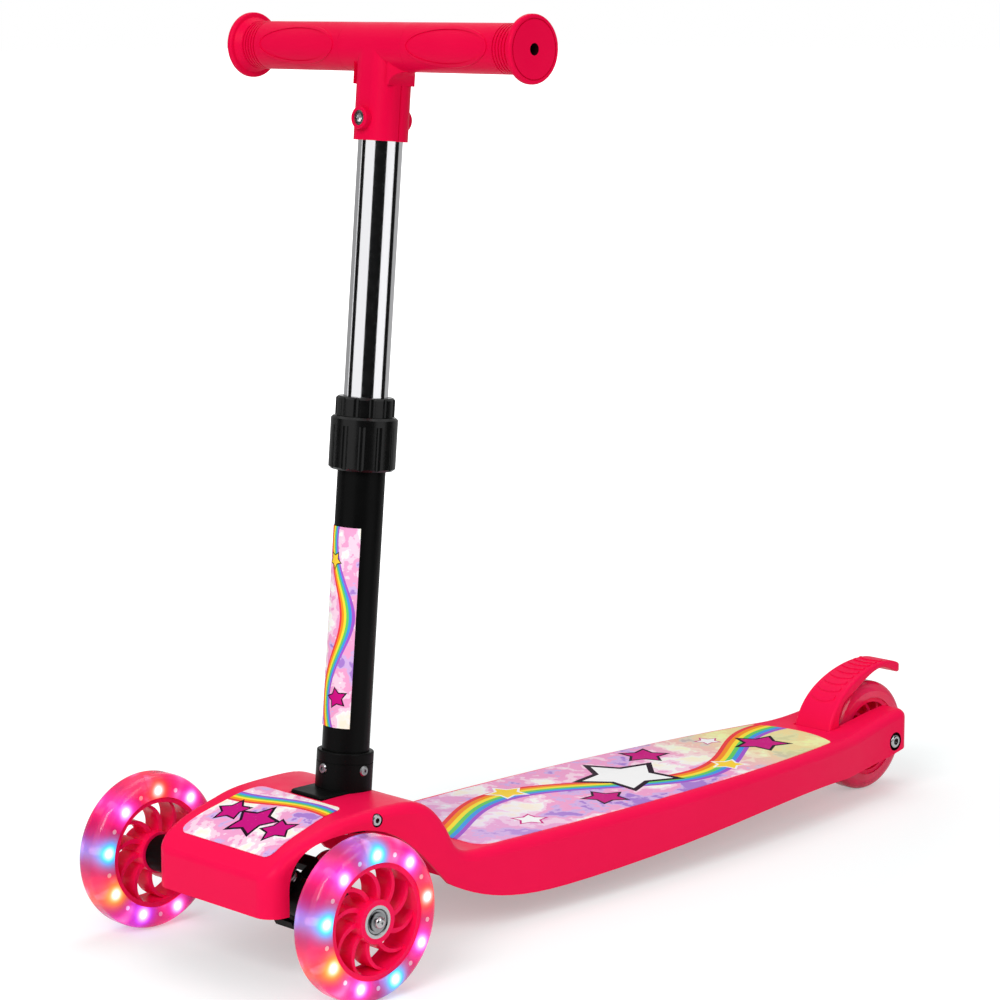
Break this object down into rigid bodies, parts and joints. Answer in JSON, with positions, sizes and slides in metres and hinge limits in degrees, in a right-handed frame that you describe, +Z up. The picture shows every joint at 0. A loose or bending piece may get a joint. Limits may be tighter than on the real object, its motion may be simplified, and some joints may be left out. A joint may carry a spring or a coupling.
{
  "type": "kick scooter",
  "caption": "Child's lean-to-steer kick scooter with light-up front wheels, a telescopic T-bar with twist lock and a sprung rear foot brake.",
  "frame": {"origin": "middle of the footprint on the floor", "axes": "+Z up, the scooter drives towards -Y, the rider's left is +X"},
  "size_m": [0.281, 0.75, 0.6332],
  "materials": {
    "pink_plastic": "satin moulded polypropylene",
    "grip_rubber": "satin moulded soft plastic",
    "printed_sheet": "printed film",
    "black_plastic": "matte moulded plastic",
    "black_tube": "satin black powder coat",
    "chrome": "bright chrome plate",
    "steel": "zinc plated",
    "spring_steel": "oiled spring wire",
    "clear_tyre": "clear cast polyurethane",
    "pink_core": "moulded plastic",
    "light": "clear lamp body, lit",
    "light_off": "clear lamp body"
  },
  "bodies": {
    "frame": {"brake_pin": "steel", "brake_spring": "spring_steel", "centring_springs": "spring_steel", "collar_screws": "steel", "column_bolt": "steel", "column_nut": "steel", "column_socket": "black_plastic", "deck_body": "pink_plastic", "deck_sheet": "printed_sheet", "hood_sheet": "printed_sheet", "kingpins": "steel", "lock_collet": "black_plastic", "lower_tube": "black_tube", "rear_axle_bolt": "steel", "rear_axle_nut": "steel", "rear_magnet_sleeve": "steel", "rear_spacers": "steel", "side_screws": "steel", "steering_truck": "black_plastic", "truck_screws": "steel", "tube_sheet": "printed_sheet"},
    "handle": {"upper_tube": "chrome", "t_handle": "pink_plastic", "left_grip": "grip_rubber", "right_grip": "grip_rubber", "handle_bolt": "steel", "handle_nut": "steel"},
    "lock": {"lock_nut": "black_plastic"},
    "left_steer": {"left_knuckle": "black_plastic", "left_axle": "steel", "left_axle_clip": "steel", "left_axle_washer": "steel", "left_magnet_sleeve": "steel"},
    "right_steer": {"right_knuckle": "black_plastic", "right_axle": "steel", "right_axle_clip": "steel", "right_axle_washer": "steel", "right_magnet_sleeve": "steel"},
    "tie": {"tie_rod": "black_plastic", "tie_pins": "steel"},
    "left_wheel": {"left_tyre": "clear_tyre", "left_core": "pink_core", "left_lights": "light", "left_bearings": "steel"},
    "right_wheel": {"right_tyre": "clear_tyre", "right_core": "pink_core", "right_lights": "light", "right_bearings": "steel"},
    "rear_wheel": {"rear_tyre": "clear_tyre", "rear_core": "pink_core", "rear_lights": "light_off", "rear_bearings": "steel"},
    "brake": {"brake_fender": "pink_plastic", "brake_pad": "steel"}
  },
  "joints": [
    {"name": "left_steering", "type": "hinge", "parent": "frame", "child": "left_steer", "pos_m": [0.043, -0.32, 0.055], "axis": [0, -0.5, 0.866], "range_deg": [-15, 15], "stiffness_Nm_per_rad": 12},
    {"name": "right_steering", "type": "hinge", "parent": "frame", "child": "right_steer", "pos_m": [-0.043, -0.32, 0.055], "axis": [0, -0.5, 0.866], "range_deg": [-15, 15], "stiffness_Nm_per_rad": 12},
    {"name": "tie_rod_pivot", "type": "hinge", "parent": "left_steer", "child": "tie", "pos_m": [0.043, -0.29056, 0.072], "axis": [0, -0.5, 0.866], "range_deg": [-15, 15]},
    {"name": "left_wheel_spin", "type": "hinge", "parent": "left_steer", "child": "left_wheel", "pos_m": [0.113, -0.32, 0.055], "axis": [1, 0, 0], "continuous": true},
    {"name": "right_wheel_spin", "type": "hinge", "parent": "right_steer", "child": "right_wheel", "pos_m": [-0.113, -0.32, 0.055], "axis": [1, 0, 0], "continuous": true},
    {"name": "rear_wheel_spin", "type": "hinge", "parent": "frame", "child": "rear_wheel", "pos_m": [0, 0.33, 0.045], "axis": [1, 0, 0], "continuous": true},
    {"name": "brake_press", "type": "hinge", "parent": "frame", "child": "brake", "pos_m": [0, 0.274, 0.055], "axis": [-1, 0, 0], "range_deg": [0, 2.15], "stiffness_Nm_per_rad": 3, "springref_deg": -5.73},
    {"name": "handle_slide", "type": "slide", "parent": "frame", "child": "handle", "axis": [0, 0.0872, 0.9962], "range_m": [-0.15, 0]},
    {"name": "lock_turn", "type": "hinge", "parent": "frame", "child": "lock", "pos_m": [0, -0.21856, 0.32565], "axis": [0, 0.0872, 0.9962], "range_deg": [0, 100]}
  ],
  "couplings": [
    {"joint": "right_steering", "follows": "left_steering", "ratio": 1},
    {"joint": "tie_rod_pivot", "follows": "left_steering", "ratio": -1}
  ]
}
